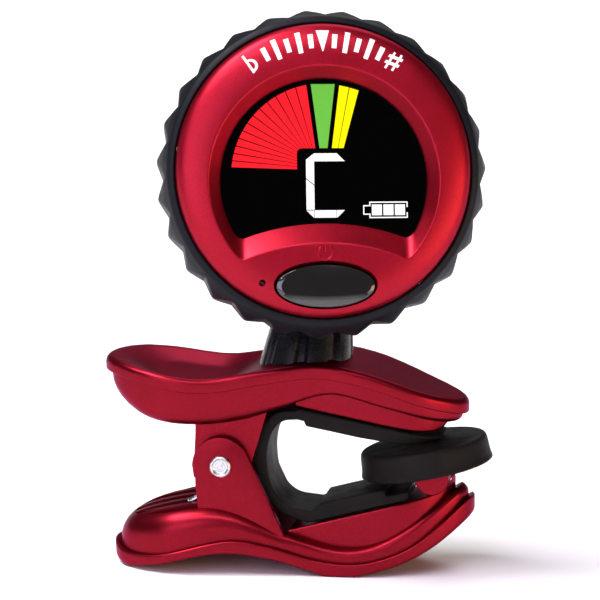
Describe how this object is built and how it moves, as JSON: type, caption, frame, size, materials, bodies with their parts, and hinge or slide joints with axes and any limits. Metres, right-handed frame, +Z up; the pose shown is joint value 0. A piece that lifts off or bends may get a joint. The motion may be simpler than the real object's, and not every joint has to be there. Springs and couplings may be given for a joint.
{
  "type": "clip-on instrument tuner",
  "caption": "Clip-on tuner: round display head with knurled rubber rim on a fluted ball-jointed neck, carried by a sprung clip with rubber-lined jaws and a rocking foot.",
  "frame": {"origin": "under the middle of the object, on the surface that the clip stands on", "axes": "+Z up; the jaws open towards +X and the grips lie towards -X; the display faces -Y; the clip's hinge pin lies along Y"},
  "size_m": [0.056, 0.0292, 0.0798],
  "materials": {
    "red_paint": "metallic dark red satin paint",
    "bezel_paint": "metallic red satin paint",
    "liner_rubber": "matte brown-black",
    "bumper_rubber": "matte charcoal",
    "black_plastic": "satin moulded black",
    "gloss_black": "polished black",
    "aluminium": "turned",
    "steel": "satin",
    "brass": "plain",
    "nylon": "natural nylon",
    "white_plastic": "diffusing white",
    "circuit_board": "green board",
    "lcd_glass": "dark liquid-crystal panel"
  },
  "bodies": {
    "lower_clip": {"lower_lever": "red_paint", "clip_rivet": "aluminium", "pivot_bush": "nylon", "torsion_spring": "steel", "jaw_liner_lower": "liner_rubber", "rocker_pin": "steel"},
    "upper_clip": {"upper_lever": "red_paint", "jaw_liner_upper": "liner_rubber"},
    "rocker": {"rocker_carrier": "red_paint", "rocker_foot": "liner_rubber"},
    "neck": {"neck_arm": "black_plastic", "neck_washer": "steel", "neck_screw": "steel"},
    "ball_joint": {"socket_liner": "nylon"},
    "head": {"front_bezel": "bezel_paint", "back_shell": "black_plastic", "bumper_ring": "bumper_rubber", "display_lens": "gloss_black", "lcd_panel": "lcd_glass", "lcd_backlight": "white_plastic", "main_board": "circuit_board", "tuner_chip": "black_plastic", "microphone": "steel", "tact_switch": "black_plastic", "switch_body": "steel", "piezo_disc": "brass", "coin_cell": "steel", "negative_contact": "brass", "positive_contact": "brass", "ball_socket": "black_plastic", "case_screw_1": "steel", "case_screw_2": "steel", "case_screw_3": "steel", "case_screw_4": "steel"},
    "button": {"power_button": "gloss_black"},
    "door": {"battery_door": "black_plastic"},
    "slider": {"mode_slider": "black_plastic"}
  },
  "joints": [
    {"name": "clip_open", "type": "hinge", "parent": "lower_clip", "child": "upper_clip", "pos_m": [-0.01001, 0.00342, 0.0155], "axis": [0, -1, 0], "range_deg": [0, 35], "stiffness_Nm_per_rad": 0.05, "springref_deg": -28.65, "deforming": ["torsion_spring"]},
    {"name": "rocker_tilt", "type": "hinge", "parent": "lower_clip", "child": "rocker", "pos_m": [0.01985, 0.00342, 0.014], "axis": [0, -1, 0], "range_deg": [-5, 3]},
    {"name": "neck_swivel", "type": "hinge", "parent": "upper_clip", "child": "neck", "pos_m": [0.00105, 0.00342, 0.02995], "axis": [-0.1097, 0, 0.994], "continuous": true},
    {"name": "head_tilt", "type": "hinge", "parent": "neck", "child": "ball_joint", "pos_m": [0.00227, 0.00829, 0.04352], "axis": [-0.9781, -0.2079, 0], "range_deg": [0, 40]},
    {"name": "head_roll", "type": "hinge", "parent": "ball_joint", "child": "head", "pos_m": [0.00227, 0.00829, 0.04352], "axis": [0.2017, -0.9491, 0.2419], "range_deg": [-6, 6]},
    {"name": "button_press", "type": "slide", "parent": "head", "child": "button", "axis": [-0.2017, 0.9491, -0.2419], "range_m": [0, 0.0006], "stiffness_N_per_m": 800},
    {"name": "mode_slide", "type": "slide", "parent": "head", "child": "slider", "axis": [0.9781, 0.2079, 0], "range_m": [0, 0.002]},
    {"name": "door_off", "type": "slide", "parent": "head", "child": "door", "axis": [-0.2017, 0.9491, -0.2419], "range_m": [0, 0.01]}
  ]
}
